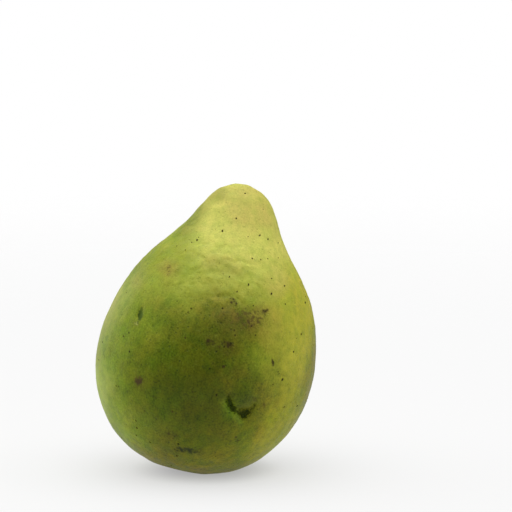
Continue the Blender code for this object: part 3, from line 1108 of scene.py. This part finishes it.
# Specks seen from the front: turn, height and radius
SPECKS = (
    (-2.2, 87.0, 0.35), (3.0, 95.8, 0.45), (-33.3, 77.2, 0.45), (-37.1, 73.2, 0.35),
    (30.0, 83.3, 0.40), (40.7, 82.6, 0.50), (34.9, 76.2, 0.40), (27.1, 75.3, 0.35),
    (49.5, 77.4, 0.40), (34.4, 70.1, 0.45), (46.1, 68.8, 0.50), (9.6, 63.4, 0.35),
    (32.8, 65.3, 0.50), (43.6, 63.0, 0.40), (68.4, 64.9, 0.55), (-14.1, 54.9, 0.45),
    (3.2, 67.5, 0.35), (6.6, 46.1, 0.40), (8.0, 45.3, 0.40), (11.1, 46.8, 0.60),
    (9.9, 39.1, 0.85), (23.7, 51.1, 0.40), (12.4, 49.6, 0.35), (11.6, 51.1, 0.35),
    (20.6, 53.6, 0.45), (41.3, 41.2, 0.35), (42.2, 40.6, 0.30), (45.4, 39.0, 0.60),
    (-42.1, 36.4, 0.40), (-11.0, 21.0, 0.45), (-35.5, 12.6, 0.55), (-37.8, 10.1, 0.40),
    (-26.7, 8.9, 0.40), (-4.1, 10.9, 0.45), (-3.7, 6.6, 0.50), (66.0, 31.3, 0.45),
    (-71.6, 30.7, 0.40), (-69.7, 36.8, 0.35), (50.8, 48.5, 0.50), (3.5, 37.5, 0.30),
)
SEEN_SHARE = 0.62
SHORTEST = 0.9
GROUP_EDGE = (0.42, 0.66)
FLOOR_CLEAR = (0.5 * MM, 2 * MM)
SPECK_DARK = (0.026, 0.026, 0.005, 1.0)
SPECK_PALE = (0.080, 0.066, 0.012, 1.0)
SPECK_TONES = 1.5
TONES_RANGE = (0.35, 0.65)
SPECK_ROUGHNESS = 0.8
SPECK_GLOSS = 0.05
JOLT_SIZE = 0.35
SPECK_SIZES = {
    "Scattered per square metre": 34000.0,
    "Group size": 9.0,
    "Smallest": 0.10,
    "Largest": 0.30,
    "Flatness": 0.45,
    "Unevenness": 0.35,
    "Longest": 1.9,
    "Seed": 11,
}


def seen_specks():
    """A mesh of loose points, one for each speck seen from the front, with its radius."""
    places = []
    for turn, height, radius in SPECKS:
        girth = skin_radius(height)
        angle = math.radians(turn)
        places.append(Vector((girth * math.sin(angle), -girth * math.cos(angle), height)))
    mesh = bpy.data.meshes.new("specks")
    mesh.from_pydata(places, [], [])
    radii = mesh.attributes.new("radius", "FLOAT", "POINT")
    for slot, (turn, height, radius) in zip(radii.data, SPECKS):
        slot.value = radius * SEEN_SHARE
    return mesh


def random_size(start, smallest, largest, seed):
    """A random number between two for each point."""
    values = {2: smallest, 3: largest, "Seed": seed}
    return start.node("FunctionNodeRandomValue", {"data_type": "FLOAT"}, values, 1)


def speck_points(start, skin, sizes):
    """Points on the skin, each with its radius: those seen from the front, and the scattered ones."""
    near_values = {"Target": skin}
    on_skin = start.node("GeometryNodeProximity", {"target_element": "FACES"}, near_values, "Position")
    seen = set_place(leaned(sizes["Seen"]), on_skin)

    place = start.position()
    groups = place.scaled(1 / MM).noise(sizes["Group size"], 2.0).between(*GROUP_EDGE)
    clear_of_floor = place.parts()[2].between(*FLOOR_CLEAR)
    density = groups * clear_of_floor * sizes["Scattered per square metre"]
    scatter_values = {"Mesh": skin, "Density": density, "Seed": sizes["Seed"]}
    scattered = start.node("GeometryNodeDistributePointsOnFaces", {}, scatter_values, "Points")
    draw = random_size(start, 0.0, 1.0, sizes["Seed"])
    radius = sizes["Smallest"] + (sizes["Largest"] - sizes["Smallest"]) * draw * draw * draw
    return joined(seen, painted(scattered, "radius", "FLOAT", radius))


def speck_tree():
    inputs = {"Seen": "NodeSocketGeometry", "Skin": "NodeSocketObject",
              "Speck material": "NodeSocketMaterial"}
    start, sizes = new_tree("specks", inputs, SPECK_SIZES)
    skin = start.node("GeometryNodeObjectInfo", {}, {"Object": sizes["Skin"]}, "Geometry")
    points = speck_points(start, skin, sizes)
    normal_values = {"Mesh": skin, "Value": start.node("GeometryNodeInputNormal")}
    normal_settings = {"data_type": "FLOAT_VECTOR"}
    facing = start.node("GeometryNodeSampleNearestSurface", normal_settings, normal_values)
    turn = start.node("FunctionNodeAlignRotationToVector", {"axis": "Z"}, {"Vector": facing})
    wide = stored(start, "radius") * MM
    long = wide * random_size(start, SHORTEST, sizes["Longest"], sizes["Seed"] + 1)
    ball = start.node("GeometryNodeMeshIcoSphere", {}, {"Radius": 1.0, "Subdivisions": 2}, "Mesh")
    balls_values = {"Points": points, "Instance": ball, "Rotation": turn,
                    "Scale": start.xyz(wide, long, wide * sizes["Flatness"])}
    balls = start.node("GeometryNodeInstanceOnPoints", {}, balls_values)
    place = start.position().scaled(1 / MM)
    jolt = place.jitter(JOLT_SIZE, 1.0).scaled(sizes["Unevenness"] * MM)
    finish_piece(pushed(realized(balls), jolt), sizes["Speck material"])
    return start.tree


def speck_material():
    material, start = new_material("speck_cork")
    tones = fruit_place(start).noise(SPECK_TONES).between(*TONES_RANGE)
    finish_material(tones.blend(SPECK_DARK, SPECK_PALE), SPECK_ROUGHNESS, SPECK_GLOSS)
    return material


speck_sizes = {"Skin": skin, "Speck material": speck_material(), **SPECK_SIZES}
specks = grow("specks", speck_tree(), speck_sizes, seen_specks())
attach(specks, "root")

# The floor is a plain pale sheet, lit a little from below, that fades into the white round it. Its glow is
# dimmer round the fruit's foot, as a painted shadow. It isn't part of the fruit.

FLOOR_RADIUS = 1.4
FLOOR_PALE = (0.25, 0.25, 0.25, 1.0)
FLOOR_GLOW = 0.62
FLOOR_FADE = (0.25, 0.95 * FLOOR_RADIUS)
FOOT_SHADOW_RANGE = (0.006, 0.028)
FOOT_SHADOW_SHARE = 0.6


def floor_material():
    material, start = new_material("pale_floor")
    distance = start.node("ShaderNodeTexCoord", {}, {}, "Object").vector("LENGTH")
    pale = start.node("ShaderNodeBsdfDiffuse", {}, {"Color": FLOOR_PALE})
    # Painted shadow: the glow is dimmer near the fruit's foot
    strength = distance.between(*FOOT_SHADOW_RANGE, FOOT_SHADOW_SHARE, 1.0) * FLOOR_GLOW
    glow = start.node("ShaderNodeEmission", {}, {"Color": (1.0, 1.0, 1.0, 1.0), "Strength": strength})
    lit = start.node("ShaderNodeAddShader", {}, {0: pale, 1: glow})
    clear = start.node("ShaderNodeBsdfTransparent")
    mixed = start.node("ShaderNodeMixShader", {}, {0: distance.between(*FLOOR_FADE), 1: lit, 2: clear})
    start.node("ShaderNodeOutputMaterial", {}, {"Surface": mixed})
    return material


def make_floor():
    bm = bmesh.new()
    bmesh.ops.create_circle(bm, cap_ends=True, segments=96, radius=FLOOR_RADIUS)
    mesh = bpy.data.meshes.new("floor")
    bm.to_mesh(mesh)
    bm.free()
    mesh.materials.append(floor_material())
    floor = bpy.data.objects.new("floor", mesh)
    bpy.context.scene.collection.objects.link(floor)
    return floor


make_floor()

# The light is a white tent: a bright panel overhead, softer sides that are dimmer behind on the right,
# and a dim side where the camera stands. The camera sees plain white beyond it.

OVERHEAD_LIGHT = 2.6
SIDE_LIGHT = 1.3
BACK_LIGHT = 0.22
BACK_LEFT_LIGHT = 0.6
FRONT_LIGHT = 0.05
SHADED_SHARE = 0.8

# How far each panel spreads, as parts of the direction to it: across, back and up
OVERHEAD_UP = (0.55, 0.95)
SIDE_ACROSS = (0.55, 1.0)
SIDE_BACK = (-0.5, 0.0)
SHADED_ACROSS = (-0.1, 0.35)
SHADED_BACK = (0.0, 0.5)
LEFT_ACROSS = (0.0, -0.8)
LEFT_BACK = (0.0, 0.6)
BEHIND_BACK = (0.2, 1.0)


def light_world():
    world = bpy.data.worlds.new("light_tent")
    bpy.context.scene.world = world
    world.use_nodes = True
    world.node_tree.nodes.clear()
    start = Socket(world.node_tree)
    across, back, up = start.node("ShaderNodeTexCoord", {}, {}, "Generated").parts()
    overhead = up.between(*OVERHEAD_UP) * OVERHEAD_LIGHT
    sides = across.math("ABSOLUTE").between(*SIDE_ACROSS) * back.between(*SIDE_BACK) * SIDE_LIGHT
    shaded = across.between(*SHADED_ACROSS) * back.between(*SHADED_BACK) * SHADED_SHARE
    back_left = back.between(*LEFT_BACK) * across.between(*LEFT_ACROSS) * BACK_LEFT_LIGHT
    behind = back.between(*BEHIND_BACK) * BACK_LIGHT + back_left
    tent = overhead + (sides + behind) * (1 - shaded) + FRONT_LIGHT
    seen = start.node("ShaderNodeLightPath", {}, {}, "Is Camera Ray")
    strength = seen * (1 - tent) + tent
    lit = start.node("ShaderNodeBackground", {}, {"Color": (1.0, 1.0, 1.0, 1.0), "Strength": strength})
    start.node("ShaderNodeOutputWorld", {}, {"Surface": lit})


light_world()
bpy.context.scene.view_settings.view_transform = "Standard"

# The camera stands before the fruit and looks slightly down at it, as the photograph was taken, with the
# fruit as large and as far to the left and down in the frame.

PHOTO_SIDE = 512
PIXELS_PER_MM = 2.959
CAMERA_DISTANCE = 0.65
CAMERA_ELEVATION = math.radians(6.0)
AIM_RIGHT = 16.9 * MM
AIM_UP = 24.3 * MM


def make_camera():
    low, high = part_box("fruit")
    middle = (Vector(low) + Vector(high)) / 2
    forward = Vector((0.0, math.cos(CAMERA_ELEVATION), -math.sin(CAMERA_ELEVATION)))
    upward = Vector((0.0, math.sin(CAMERA_ELEVATION), math.cos(CAMERA_ELEVATION)))
    aim = middle + Vector((AIM_RIGHT, 0.0, 0.0)) + upward * AIM_UP
    data = bpy.data.cameras.new("camera")
    view_width = PHOTO_SIDE / PIXELS_PER_MM * MM
    data.lens = data.sensor_width * CAMERA_DISTANCE / view_width
    camera = bpy.data.objects.new("camera", data)
    camera.location = aim - forward * CAMERA_DISTANCE
    camera.rotation_euler = (math.pi / 2 - CAMERA_ELEVATION, 0.0, 0.0)
    bpy.context.scene.collection.objects.link(camera)
    bpy.context.scene.camera = camera


make_camera()
